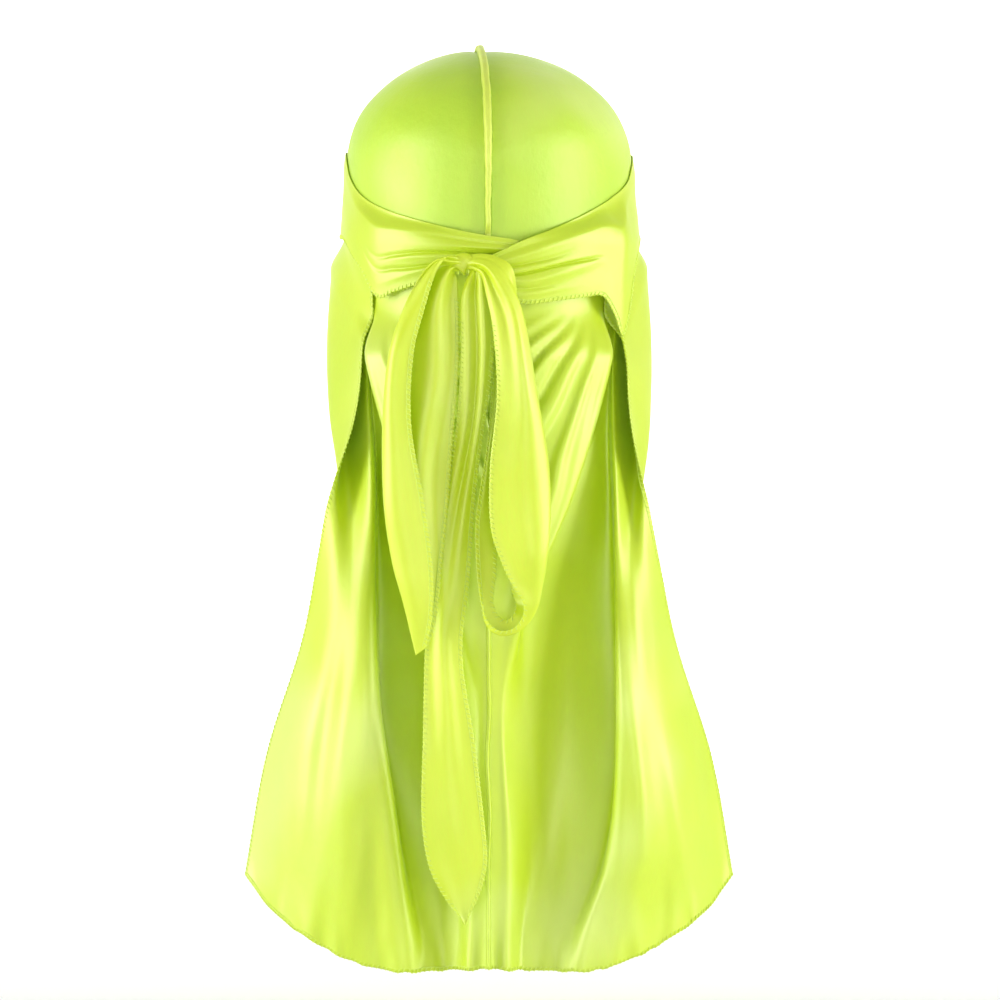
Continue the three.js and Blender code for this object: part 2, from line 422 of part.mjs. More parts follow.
const bowLoop = [
  { along: 0.00, aX: 0.026, aZ: 0.018, aY: -0.12, bX: 0.026, bZ: 0.008, bY: -0.14, cX: 0.026, cZ: -0.003, cY: -0.12 },
  { along: 0.02, aX: 0.089, aZ: 0.018, aY: -0.12, bX: 0.089, bZ: 0.008, bY: -0.15, cX: 0.089, cZ: -0.006, cY: -0.12 },
  { along: 0.04, aX: 0.121, aZ: 0.037, aY: -0.23, bX: 0.146, bZ: 0.019, bY: -0.28, cX: 0.165, cZ: -0.011, cY: -0.20 },
  { along: 0.08, aX: 0.153, aZ: 0.080, aY: -0.33, bX: 0.216, bZ: 0.049, bY: -0.42, cX: 0.286, cZ: 0.011, cY: -0.28 },
  { along: 0.13, aX: 0.191, aZ: 0.182, aY: -0.38, bX: 0.298, bZ: 0.156, bY: -0.55, cX: 0.406, cZ: 0.110, cY: -0.30 },
  { along: 0.21, aX: 0.210, aZ: 0.368, aY: -0.42, bX: 0.348, bZ: 0.363, bY: -0.68, cX: 0.488, cZ: 0.347, cY: -0.35 },
  { along: 0.29, aX: 0.178, aZ: 0.554, aY: -0.53, bX: 0.361, bZ: 0.555, bY: -0.82, cX: 0.532, cZ: 0.549, cY: -0.38 },
  { along: 0.36, aX: 0.178, aZ: 0.714, aY: -0.72, bX: 0.380, bZ: 0.714, bY: -0.97, cX: 0.551, cZ: 0.709, cY: -0.42 },
  { along: 0.42, aX: 0.266, aZ: 0.825, aY: -0.97, bX: 0.424, bZ: 0.830, bY: -0.97, cX: 0.525, cZ: 0.831, cY: -0.47 },
  { along: 0.46, aX: 0.361, aZ: 0.893, aY: -1.15, bX: 0.455, bZ: 0.912, bY: -0.88, cX: 0.443, cZ: 0.895, cY: -0.42 },
  { along: 0.50, aX: 0.379, aZ: 0.943, aY: -1.23, bX: 0.380, bZ: 0.963, bY: -0.82, cX: 0.355, cZ: 0.932, cY: -0.40 },
  { along: 0.54, aX: 0.285, aZ: 0.986, aY: -1.25, bX: 0.279, bZ: 0.976, bY: -0.82, cX: 0.267, cZ: 0.951, cY: -0.38 },
  { along: 0.58, aX: 0.166, aZ: 0.965, aY: -1.18, bX: 0.178, bZ: 0.947, bY: -0.78, cX: 0.197, cZ: 0.924, cY: -0.35 },
  { along: 0.62, aX: 0.109, aZ: 0.899, aY: -0.97, bX: 0.140, bZ: 0.892, bY: -0.65, cX: 0.184, cZ: 0.884, cY: -0.33 },
  { along: 0.67, aX: 0.090, aZ: 0.799, aY: -0.68, bX: 0.140, bZ: 0.799, bY: -0.47, cX: 0.210, cZ: 0.799, cY: -0.25 },
  { along: 0.74, aX: 0.090, aZ: 0.661, aY: -0.40, bX: 0.153, bZ: 0.661, bY: -0.30, cX: 0.235, cZ: 0.661, cY: -0.15 },
  { along: 0.82, aX: 0.134, aZ: 0.488, aY: -0.25, bX: 0.203, bZ: 0.488, bY: -0.20, cX: 0.286, cZ: 0.487, cY: -0.07 },
  { along: 0.90, aX: 0.191, aZ: 0.314, aY: -0.17, bX: 0.254, bZ: 0.314, bY: -0.15, cX: 0.324, cZ: 0.314, cY: -0.05 },
  { along: 0.95, aX: 0.197, aZ: 0.149, aY: -0.10, bX: 0.241, bZ: 0.138, bY: -0.10, cX: 0.292, cZ: 0.127, cY: -0.03 },
  { along: 0.97, aX: 0.140, aZ: 0.058, aY: -0.05, bX: 0.172, bZ: 0.045, bY: -0.09, cX: 0.203, cZ: 0.034, cY: -0.04 },
  { along: 0.99, aX: 0.089, aZ: 0.018, aY: -0.01, bX: 0.089, bZ: 0.007, bY: -0.01, cX: 0.089, cZ: -0.001, cY: -0.01 },
  { along: 1.00, aX: 0.032, aZ: 0.015, aY: -0.01, bX: 0.032, bZ: 0.007, bY: -0.01, cX: 0.032, cZ: -0.001, cY: -0.01 },
];

function bowPiece(rows, drop, across, down) {
  const place = (u, v) => {
    const closerAtTheEnds = lerp(v, smooth(v, 0, 1), 0.5);
    const at = (column) => along(rows, "along", column, closerAtTheEnds);
    const line = ["a", "b", "c"].map((name, k) => ({
      across: k / 2,
      x: at(name + "X") * bowWidth,
      y: at(name + "Y") * bowDepth,
      z: -at(name + "Z") * drop,
    }));
    const on = (column) => along(line, "across", column, u);
    return knotPlace.clone().add(new THREE.Vector3(on("x"), on("y"), on("z")));
  };
  return clothWall(across, down, place);
}
add("short_end", bowPiece(shortEnd, shortEndDrop, 8, 18));
add("long_end", bowPiece(longEnd, longEndDrop, 6, 22));
add("bow_loop", bowPiece(bowLoop, bowDrop, 6, 40));

export default durag;
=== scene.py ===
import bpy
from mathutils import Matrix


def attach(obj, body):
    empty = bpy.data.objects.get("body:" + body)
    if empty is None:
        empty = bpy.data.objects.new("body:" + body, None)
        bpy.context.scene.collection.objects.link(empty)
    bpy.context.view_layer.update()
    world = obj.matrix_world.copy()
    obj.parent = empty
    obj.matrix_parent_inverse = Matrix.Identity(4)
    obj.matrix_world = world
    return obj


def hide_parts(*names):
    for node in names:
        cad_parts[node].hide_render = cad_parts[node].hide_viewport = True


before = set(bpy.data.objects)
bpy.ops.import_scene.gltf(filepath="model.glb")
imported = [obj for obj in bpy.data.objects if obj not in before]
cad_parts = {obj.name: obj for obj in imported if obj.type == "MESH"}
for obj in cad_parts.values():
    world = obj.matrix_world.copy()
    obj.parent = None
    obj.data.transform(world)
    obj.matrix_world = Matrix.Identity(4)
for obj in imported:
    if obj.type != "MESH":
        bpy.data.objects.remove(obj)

import bisect
import math

import bmesh
import bpy
from mathutils import Vector, noise

# A long-tailed satin durag, tied at the back of the head with a half bow.
# Sizes in the tables and functions are millimetres; a mesh is made in metres.
MM = 0.001

CLOTH = 0.5
LAYER_GAP = 0.5
WALL = 1.0
HEAD_HALF_WIDTH = 74.6
HEAD_BACK = 95.0
HEAD_FRONT = 94.0
CROWN_HEIGHT = 59.0
HEAD_SQUARENESS = 2.15
NAPE_TAPER = 0.1
NAPE_RIM = -84.0
SEAM_SKEW = 5.8
SEAM_HEIGHT = 3.2
TAIL_SEAM_HEIGHT = 1.8
STRAP_REACH = 90.0
TAIL_TOP = -60.0
TAIL_HALF_WIDTH = 127.5
TAIL_DEPTH = 90.0
SOFT_FOLDS = 4.2
FINE_FOLDS = 0.8
HEM_RUFFLE = 0.8
HALVES_LAP = 0.05
CROWN_HALVES_GAP = 0.02
KNOT_PLACE = Vector((-13.0, -106.9, -57.0))
BOW_WIDTH = 80.0
BOW_DEPTH = 20.0
STITCH_PITCH = 2.5
STITCH_BITE = 1.9
THREAD_RADIUS = 0.27
NEEDLE_THREAD_RADIUS = 0.2
STEPS_A_TURN = 8
EDGE_STEPS = 500
FLOOR_LEVEL = -445.0

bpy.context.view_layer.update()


def mix(a, b, t):
    return a + (b - a) * t


def clamp(value, low, high):
    return max(low, min(high, value))


def smooth(value, low, high):
    t = clamp((value - low) / (high - low), 0.0, 1.0)
    return t * t * (3 - 2 * t)


def ridges(at, folds):
    """The height of a few soft folds: where each runs, how wide it is and how far it stands out."""
    return sum(depth * math.exp(-(((at - place) / width) ** 2)) for place, width, depth in folds)


class Curve:
    """A smooth curve through the values of a table's column."""

    def __init__(self, places, values):
        self.places = places
        self.values = values
        last = len(places) - 1
        self.slopes = []
        for k in range(last + 1):
            before = max(k - 1, 0)
            after = min(k + 1, last)
            rise = values[after] - values[before]
            self.slopes.append(rise / (places[after] - places[before]))

    def __call__(self, at):
        i = clamp(bisect.bisect_right(self.places, at) - 1, 0, len(self.places) - 2)
        span = self.places[i + 1] - self.places[i]
        t = clamp((at - self.places[i]) / span, 0.0, 1.0)
        h = t * t * (3 - 2 * t)
        leave = span * self.slopes[i] * t * (1 - t) * (1 - t)
        reach = span * self.slopes[i + 1] * t * t * (1 - t)
        return self.values[i] * (1 - h) + self.values[i + 1] * h + leave - reach


def curves(columns, rows):
    """Reads a table: the first column is the place, and each other one becomes a curve along it."""
    names = columns.split()
    places = [row[0] for row in rows]
    return {name: Curve(places, [row[k + 1] for row in rows]) for k, name in enumerate(names[1:])}


# Making pieces

def finish_piece(piece, material, node=None):
    """Gives a piece its finish and its place in the frame, and hides the plain solid that it stands
    for.
    """
    piece.data.materials.append(material)
    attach(piece, "root")
    if node:
        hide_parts(node)
    return piece


def piece_from(mesh, name):
    """Turns a bmesh into an object whose place is in its mesh."""
    data = bpy.data.meshes.new(name)
    mesh.to_mesh(data)
    mesh.free()
    for face in data.polygons:
        face.use_smooth = True
    piece = bpy.data.objects.new(name, data)
    bpy.context.scene.collection.objects.link(piece)
    return piece


def cloth_piece(name, across, down, place, cut, wall=CLOTH):
    """A sheet laid out as a flat grid, moved to where it hangs, and given its wall."""
    mesh = bmesh.new()
    weave = mesh.loops.layers.uv.new("weave")
    bmesh.ops.create_grid(mesh, x_segments=across, y_segments=down, size=0.5, calc_uvs=True)
    for face in mesh.faces:
        for loop in face.loops:
            flat = loop.vert.co
            loop[weave].uv = ((flat.x + 0.5) * cut[0], (flat.y + 0.5) * cut[1])
    for vert in mesh.verts:
        vert.co = place(vert.co.x + 0.5, vert.co.y + 0.5) * MM
    bmesh.ops.remove_doubles(mesh, verts=mesh.verts, dist=0.00002)
    piece = piece_from(mesh, name)
    thickness = piece.modifiers.new("wall", "SOLIDIFY")
    thickness.thickness = wall * MM
    thickness.offset = 0.0
    thickness.use_even_offset = False
    return piece


def walk(points, step):
    """Points at even steps along a line of points."""
    lengths = [0.0]
    for before, after in zip(points, points[1:]):
        lengths.append(lengths[-1] + (after - before).length)
    count = max(int(lengths[-1] / step), 2)
    found = []
    i = 0
    for k in range(count + 1):
        goal = lengths[-1] * k / count
        while i < len(points) - 2 and lengths[i + 1] < goal:
            i += 1
        span = max(lengths[i + 1] - lengths[i], 1e-9)
        found.append(points[i].lerp(points[i + 1], clamp((goal - lengths[i]) / span, 0.0, 1.0)))
    return found


def thread_tube(mesh, points, radius, sides=5):
    """Adds a round thread that follows the points."""
    made = bmesh.ops.create_grid(mesh, x_segments=sides, y_segments=len(points) - 1, size=0.5)
    rings = {}
    for vert in made["verts"]:
        rings.setdefault(round((vert.co.y + 0.5) * (len(points) - 1)), []).append(vert)
    out = Vector((0.0, 0.0, 1.0))
    for k in sorted(rings):
        ahead = (points[min(k + 1, len(points) - 1)] - points[max(k - 1, 0)]).normalized()
        out = (out - ahead * out.dot(ahead)).normalized()
        aside = ahead.cross(out)
        for vert in rings[k]:
            turn = (vert.co.x + 0.5) * 2 * math.pi
            vert.co = (points[k] + (out * math.cos(turn) + aside * math.sin(turn)) * radius) * MM


def overlock(name, place, outer, inner, start=0.0, end=1.0):
    """Overlock stitching: a thread wound over a cloth edge, and the needle's line inside it."""
    edge = []
    inside = []
    for k in range(EDGE_STEPS + 1):
        t = mix(start, end, k / EDGE_STEPS)
        edge.append(place(*outer(t)))
        inside.append(place(*inner(t)))
    rail = walk(edge, STITCH_PITCH / STEPS_A_TURN)
    scale = (len(edge) - 1) / (len(rail) - 1)
    wound = []
    line = []
    for k, point in enumerate(rail):
        near = min(int(k * scale), EDGE_STEPS)
        inward = (inside[near] - edge[near]).normalized()
        ahead = (rail[min(k + 1, len(rail) - 1)] - rail[max(k - 1, 0)]).normalized()
        inward = (inward - ahead * inward.dot(ahead)).normalized()
        out = ahead.cross(inward)
        turn = k / STEPS_A_TURN * 2 * math.pi
        across = inward * (STITCH_BITE / 2 * (1 - math.cos(turn)) - 0.15)
        wound.append(point + across + out * 0.5 * math.sin(turn))
        line.append(point + inward * STITCH_BITE - out * 0.3)
    mesh = bmesh.new()
    thread_tube(mesh, wound, THREAD_RADIUS)
    thread_tube(mesh, walk(line, 1.2), NEEDLE_THREAD_RADIUS)
    bmesh.ops.remove_doubles(mesh, verts=mesh.verts, dist=0.000002)
    bmesh.ops.holes_fill(mesh, edges=mesh.edges, sides=0)
    bmesh.ops.recalc_face_normals(mesh, faces=mesh.faces)
    return finish_piece(piece_from(mesh, name), stitch_thread)


# Finishes

def new_material(name):
    material = bpy.data.materials.new(name)
    material.use_nodes = True
    tree = material.node_tree
    tree.nodes.clear()
    return material, tree


def noise_node(tree, where, scale, detail=2.0):
    """A noise pattern over the given coordinates."""
    pattern = tree.nodes.new("ShaderNodeTexNoise")
    pattern.inputs["Scale"].default_value = scale
    pattern.inputs["Detail"].default_value = detail
    tree.links.new(where, pattern.inputs["Vector"])
    return pattern


def range_node(tree, value, low, high):
    """Stretches what lies between low and high to run from 0 to 1."""
    stretch = tree.nodes.new("ShaderNodeMapRange")
    stretch.inputs["From Min"].default_value = low
    stretch.inputs["From Max"].default_value = high
    tree.links.new(value, stretch.inputs["Value"])
    return stretch


def mix_node(tree, share, first, second):
    """Mixes two colours. Each of the three is a plain value or another node's output."""
    blend = tree.nodes.new("ShaderNodeMix")
    blend.data_type = "RGBA"
    for socket, source in (("Factor", share), ("A", first), ("B", second)):
        if isinstance(source, bpy.types.NodeSocket):
            tree.links.new(source, blend.inputs[socket])
        else:
            blend.inputs[socket].default_value = source
    return blend


def bump_node(tree, height, strength, distance):
    """Raises a surface a little where a pattern is bright."""
    bump = tree.nodes.new("ShaderNodeBump")
    bump.inputs["Strength"].default_value = strength
    bump.inputs["Distance"].default_value = distance
    tree.links.new(height, bump.inputs["Height"])
    return bump


def satin_finish(name, base, deep, glow, roughness=0.42, thin=0.15, grain=0.2, shine=1.0):
    """Satin: a smooth face with a fine weave, a little uneven in tone, with pale patches of painted
    sheen mixed into its colour, that lets some light by.
    """
    material, tree = new_material(name)
    nodes = tree.nodes
    link = tree.links.new
    place = nodes.new("ShaderNodeTexCoord")
    threads = nodes.new("ShaderNodeMapping")
    threads.inputs["Scale"].default_value = (2600.0, 260.0, 1.0)
    link(place.outputs["UV"], threads.inputs["Vector"])
    weave = noise_node(tree, threads.outputs["Vector"], 1.0)
    clouds = noise_node(tree, place.outputs["Object"], 17.0, 3.0)
    clouds.inputs["Roughness"].default_value = 0.55
    tone = range_node(tree, clouds.outputs["Fac"], 0.3, 0.7)
    dye = mix_node(tree, tone.outputs["Result"], (*deep, 1.0), (*base, 1.0))
    # Pale patches scattered by a noise are painted sheen: a pale highlight tone mixed into the base
    # colour.
    sheen_patches = noise_node(tree, place.outputs["Object"], 11.0, 1.5)
    painted_sheen_share = range_node(tree, sheen_patches.outputs["Fac"], 0.5, 0.72)
    painted_sheen_share.interpolation_type = "SMOOTHSTEP"
    painted_sheen_share.inputs["To Max"].default_value = 0.55
    pale = mix_node(tree, painted_sheen_share.outputs["Result"], dye.outputs["Result"], (*PAINTED_SHEEN, 1.0))
    speck = mix_node(tree, 0.12, pale.outputs["Result"], weave.outputs["Color"])
    speck.blend_type = "MULTIPLY"
    ripple = noise_node(tree, place.outputs["Object"], 260.0, 3.0)
    fine = bump_node(tree, weave.outputs["Fac"], grain, 0.00012)
    crepe = bump_node(tree, ripple.outputs["Fac"], grain, 0.0004)
    link(fine.outputs["Normal"], crepe.inputs["Normal"])
    face = nodes.new("ShaderNodeBsdfPrincipled")
    face.inputs["Roughness"].default_value = roughness
    face.inputs["IOR"].default_value = 1.68
    face.inputs["Specular IOR Level"].default_value = shine
    face.inputs["Specular Tint"].default_value = (1.0, 1.0, 0.68, 1.0)
    face.inputs["Sheen Weight"].default_value = 0.16
    face.inputs["Sheen Roughness"].default_value = 0.3
    face.inputs["Sheen Tint"].default_value = (0.97, 1.0, 0.8, 1.0)
    face.inputs["Anisotropic"].default_value = 0.35
    link(speck.outputs["Result"], face.inputs["Base Color"])
    link(crepe.outputs["Normal"], face.inputs["Normal"])
    through = nodes.new("ShaderNodeBsdfTranslucent")
    through.inputs["Color"].default_value = (*glow, 1.0)
    both = nodes.new("ShaderNodeMixShader")
    both.inputs["Fac"].default_value = thin
    link(face.outputs["BSDF"], both.inputs[1])
    link(through.outputs["BSDF"], both.inputs[2])
    out = nodes.new("ShaderNodeOutputMaterial")
    link(both.outputs["Shader"], out.inputs["Surface"])
    return material


def thread_finish(name, base):
    """Spun thread: matt, and twisted too finely to show, so only its tone varies."""
    material, tree = new_material(name)
    nodes = tree.nodes
    link = tree.links.new
    place = nodes.new("ShaderNodeTexCoord")
    twist = noise_node(tree, place.outputs["Object"], 1400.0)
    shaded = (base[0] * 0.75, base[1] * 0.8, base[2] * 0.5, 1.0)
    tone = mix_node(tree, twist.outputs["Fac"], shaded, (*base, 1.0))
    face = nodes.new("ShaderNodeBsdfPrincipled")
    face.inputs["Roughness"].default_value = 0.6
    face.inputs["Sheen Weight"].default_value = 0.3
    link(tone.outputs["Result"], face.inputs["Base Color"])
    out = nodes.new("ShaderNodeOutputMaterial")
    link(face.outputs["BSDF"], out.inputs["Surface"])
    return material


NEON = (0.64, 0.80, 0.012)
NEON_DEEP = (0.57, 0.76, 0.009)
NEON_GLOW = (0.72, 0.86, 0.04)
# A pale, whitish yellow for the patches of painted sheen.
PAINTED_SHEEN = (0.76, 0.9, 0.27)
# The crown's colours are a darker, greener copy of the satin's: painted shade on the crown.
SHADED_CROWN_NEON = (0.54, 0.76, 0.02)
SHADED_CROWN_DEEP = (0.45, 0.71, 0.015)
# The bow's colours are a brighter, paler copy of the satin's: painted light on the bow.
LIT_BOW_NEON = (0.76, 0.89, 0.014)
LIT_BOW_DEEP = (0.68, 0.84, 0.01)
LIT_BOW_GLOW = (0.8, 0.93, 0.07)
# The seam's colours are a lighter copy of the satin's: a painted highlight along the raised seam.
LIT_SEAM_NEON = (0.78, 0.9, 0.12)
LIT_SEAM_DEEP = (0.72, 0.86, 0.07)
satin = satin_finish("satin", NEON, NEON_DEEP, NEON_GLOW)
# The bow's finish: the same satin with painted light in its brighter colours.
bow_satin_painted_light = satin_finish("satin_bow_painted_light", LIT_BOW_NEON, LIT_BOW_DEEP, LIT_BOW_GLOW, thin=0.24)
# The crown's finish: the same satin with painted shade in its darker, greener colours, and a matter
# face.
crown_satin_painted_shade = satin_finish("satin_crown_painted_shade", SHADED_CROWN_NEON, SHADED_CROWN_DEEP, NEON_GLOW, 0.5, 0.1, 0.6, 0.9)
# The seam's finish: the same satin with a painted highlight in its lighter colours.
seam_satin_painted_highlight = satin_finish("satin_seam_painted_highlight", LIT_SEAM_NEON, LIT_SEAM_DEEP, NEON_GLOW, 0.5, 0.2, 0.4)
stitch_thread = thread_finish("stitch_thread", (0.74, 0.9, 0.12))


# The head, and what lies on it

def on_head(angle, z, offset, side=1):
    """A point on the head: angle is round it from the ear, 90 the back and -90 the forehead."""
    rise = clamp(z / (CROWN_HEIGHT + offset), 0.0, 1.0)
    ring = math.sqrt(max(1 - rise * rise, 0.0))
    sink = clamp(z / NAPE_RIM, 0.0, 1.4)
    draw_in = NAPE_TAPER * sink * sink
    wide = (HEAD_HALF_WIDTH * (1 - 0.3 * draw_in) + offset) * ring
    reach = HEAD_BACK * (1 - draw_in) if angle > 0 else HEAD_FRONT
    deep = (reach + offset) * ring
    c = math.cos(math.radians(angle))
    s = math.sin(math.radians(angle))
    power = 2 / HEAD_SQUARENESS
    x = side * wide * math.copysign(abs(c) ** power, c)
    y = -deep * math.copysign(abs(s) ** power, s)
    return Vector((x, y, z))


def skewed(point):
    """The crown's seam runs a little askew, most at the top, and draws the cloth beside it along."""
    nearness = max(1 - abs(point.x) / HEAD_HALF_WIDTH, 0.0)
    if point.y < 0:
        upwards = 1 + point.y / (HEAD_BACK + 4)
    else:
        upwards = 1 - 0.6 * point.y / HEAD_FRONT
    shift = -SEAM_SKEW * max(upwards, 0.0) * nearness * nearness
    return point + Vector((shift, 0.0, 0.0))


crown_edge = curves("angle height", [
    (-90, 8), (-62, 5), (-40, -6), (-20, -19), (0, -31), (18, -37), (40, -58), (65, -66), (90, -69),
])


def crown_point(side, u, v):
    angle = mix(-90, 90, u)
    rim = crown_edge["height"](angle)
    quarter = math.pi / 2
    low = rim / (CROWN_HEIGHT * quarter) if rim < 0 else math.asin(rim / CROWN_HEIGHT) / quarter
    q = mix(low, 1, v)
    if q < 0:
        z = q * CROWN_HEIGHT * quarter
    else:
        z = (CROWN_HEIGHT + WALL / 2) * math.sin(q * quarter)
    point = on_head(angle, z, WALL / 2, side)
    seam = math.exp(-((abs(point.x) / 6) ** 2))
    pucker = 0.25 * seam * math.sin(z / 1.9 + side * 1.3) * noise.noise(Vector((z / 9, side, 0)))
    dent = noise.noise(Vector((point.x / 26, point.y / 26, point.z / 20 + side * 7)))
    dent *= 0.5 * smooth(point.z, -10, 25)
    out = point.normalized()
    point = skewed(point) + out * (dent + pucker - 0.6 * seam)
    return point + Vector((side * CROWN_HALVES_GAP, 0.0, 0.0))


def make_crown(side, name):
    def place(u, v):
        return crown_point(side, u, v)

    piece = cloth_piece("cloth_" + name, 150, 90, place, (0.30, 0.14))
    finish_piece(piece, crown_satin_painted_shade, name)


def seam_path(u):
    quarter = math.pi / 2
    front = math.asin(8 / CROWN_HEIGHT) / quarter
    back = 48 / (CROWN_HEIGHT * quarter)
    q = mix(front, 2 + back, u)
    if q > 2:
        z = -(q - 2) * CROWN_HEIGHT * quarter
        return on_head(90, z, 0), Vector((0.0, -1.0, 0.0))
    turn = quarter * q
    z = CROWN_HEIGHT * math.sin(turn)
    reach = HEAD_FRONT if math.cos(turn) > 0 else HEAD_BACK
    out = Vector((0.0, math.cos(turn) / reach, math.sin(turn) / CROWN_HEIGHT)).normalized()
    return Vector((0.0, math.cos(turn) * reach, z)), out


def seam_point(u, v):
    """The seam allowance in section: up one side, over the sewn top and down the other."""
    base, out = seam_path(v)
    turn = mix(-1, 1, u)
    wander = 0.35 * noise.noise(Vector((v * 26, 0, 0)))
    wander += 0.12 * noise.noise(Vector((v * 90, 5, 0)))
    height = SEAM_HEIGHT * (1 + 0.12 * noise.noise(Vector((v * 40, 2, 0))))
    height *= 1 - 0.75 * smooth(-base.z, 36, 42)
    rise = height * (1 - abs(turn) ** 3.2)
    half = mix(2.0, 1.3, smooth(-base.z, -20, 36))
    aside = half * math.copysign(abs(turn) ** 0.7, turn) + wander
    bump = 0.1 * math.sin(v * 2 * math.pi * 150) * (1 - abs(turn))
    return skewed(base + out * (WALL - 0.5 + rise + bump)) + Vector((aside, 0.0, 0.0))


def make_crown_seam():
    piece = cloth_piece("cloth_crown_seam", 12, 420, seam_point, (0.008, 0.33), 0.4)
    finish_piece(piece, seam_satin_painted_highlight, "crown_seam")


# Straps. angle runs from the temple to the knot; top and bottom are shares of STRAP_REACH, and the
# lifts say how many layers lie under the strap above and below the tail's top.
right_strap = curves("angle top bottom lift_top lift_bottom", [
    (-64, 0.092, 0.065, 1.4, 1.4),
    (-52, 0.09, -0.03, 1.5, 1.5),
    (-28, 0.075, -0.22, 1.5, 1.6),
    (0, 0.055, -0.43, 1.4, 3.0),
    (10, -0.03, -0.45, 1.4, 4.2),
    (16, -0.105, -0.47, 1.4, 5.2),
    (22, -0.152, -0.52, 1.4, 6.3),
    (28, -0.192, -0.66, 1.4, 7.4),
    (33, -0.222, -0.92, 1.4, 8.2),
    (37, -0.25, -1.03, 1.5, 8.5),
    (41, -0.275, -0.91, 1.6, 7.4),
    (46, -0.306, -0.808, 1.7, 6.0),
    (53, -0.351, -0.812, 1.9, 4.9),
    (65, -0.424, -0.836, 2.6, 4.2),
    (79, -0.503, -0.856, 4.0, 4.6),
    (90, -0.592, -0.79, 5.2, 5.3),
    (96, -0.63, -0.73, 5.4, 5.4),
])
left_strap = curves("angle top bottom lift_top lift_bottom", [
    (-64, 0.092, 0.065, 1.4, 1.4),
    (-52, 0.09, -0.03, 1.5, 1.5),
    (-28, 0.085, -0.22, 1.4, 1.6),
    (0, 0.075, -0.43, 1.4, 2.6),
    (9, 0.03, -0.44, 1.4, 3.3),
    (16, -0.075, -0.45, 1.4, 3.8),
    (24, -0.16, -0.485, 1.4, 4.6),
    (31, -0.217, -0.57, 1.4, 4.9),
    (38, -0.262, -0.66, 1.4, 5.0),
    (46, -0.304, -0.81, 1.4, 4.8),
    (54, -0.341, -0.785, 1.5, 3.8),
    (63, -0.378, -0.75, 1.7, 3.2),
    (77, -0.432, -0.7, 2.2, 2.6),
    (90, -0.475, -0.675, 2.4, 2.6),
    (100, -0.5, -0.665, 2.4, 2.6),
])
# Gathers in a strap: across is where a fold runs between the top edge, 0, and the bottom edge, 1,
# width its share of the strap, depth in millimetres, and then the angles where it begins and where
# it stands out fully.
right_folds = [
    (0.10, 0.05, -0.5, 46, 78),
    (0.24, 0.07, 1.1, 48, 82),
    (0.37, 0.035, -1.0, 54, 76),
    (0.47, 0.06, 1.0, 52, 84),
    (0.545, 0.02, -1.5, 44, 56),
    (0.64, 0.07, 1.3, 40, 70),
    (0.77, 0.03, -0.7, 60, 76),
    (0.87, 0.05, 0.7, 52, 80),
]
left_folds = [
    (0.22, 0.05, -0.5, 50, 80),
    (0.36, 0.08, 0.9, 50, 84),
    (0.52, 0.03, -1.2, 38, 60),
    (0.60, 0.05, 0.8, 40, 70),
    (0.70, 0.03, -1.2, 36, 58),
    (0.80, 0.05, 0.8, 40, 70),
]


def strap_point(rows, folds, side, u, v):
    first = rows["top"].places[0]
    last = rows["top"].places[-1]
    angle = mix(first, last, u)
    z = mix(rows["top"](angle), rows["bottom"](angle), v) * STRAP_REACH
    layers = mix(rows["lift_top"](angle), rows["lift_bottom"](angle), smooth(-z, 12, 47))
    relief = 0.8 * smooth(angle, 20, 60) * smooth(v, 0.0, 0.3)
    for across, width, depth, begins, full in folds:
        wander = 0.03 * math.sin(angle / 11 + across * 20) * (1 - smooth(angle, 60, 92))
        near = (v - across - wander) / width
        relief += depth * math.exp(-near * near) * smooth(angle, begins, full)
    drape = 1.2 * noise.noise(Vector((angle / 26, v * 1.6, side * 4)))
    relief += drape * smooth(angle, -50, 0) * math.sin(math.pi * v)
    offset = layers * (WALL + LAYER_GAP) + 0.3 + max(relief, -1.2)
    snug = (1 - smooth(v, 0.0, 0.22)) * (1 - smooth(angle, 70, 85))
    offset = mix(offset, min(offset, 1.55), snug * (1 - smooth(-z, 34, 48)))
    return on_head(angle, z, offset, side)


def make_strap(rows, folds, side, name):
    def place(u, v):
        return strap_point(rows, folds, side, u, v)

    piece = cloth_piece("cloth_" + name, 260, 90, place, (0.24, 0.05))
    finish_piece(piece, satin, name)
    overlock(name + "_edge", place, lambda t: (t, 1.0), lambda t: (t, 0.95), 0.30, 0.985)


# Tail

tail_top_lines = curves("line angle offset top release", [
    (0, 90, 2.1, -60, -72),
    (1, 66, 2.1, -58, -72),
    (2, 46, 2.1, -50, -72),
    (3, 39, 2.1, -46, -70),
    (4, 32, 2.1, -42, -66),
    (5, 24, 2.1, -41, -60),
    (6, 14, 1.3, -39, -50),
    (7, 3, 1.8, -38, -40),
    (8, 12, 3.1, -38, -43),
    (9, 40, 4.1, -46, -80),
])
FOLD_LINES = ["mid", "cowl", "behind", "deep", "floor", "nose", "turn", "swell", "free"]
OUTERMOST = len(FOLD_LINES)
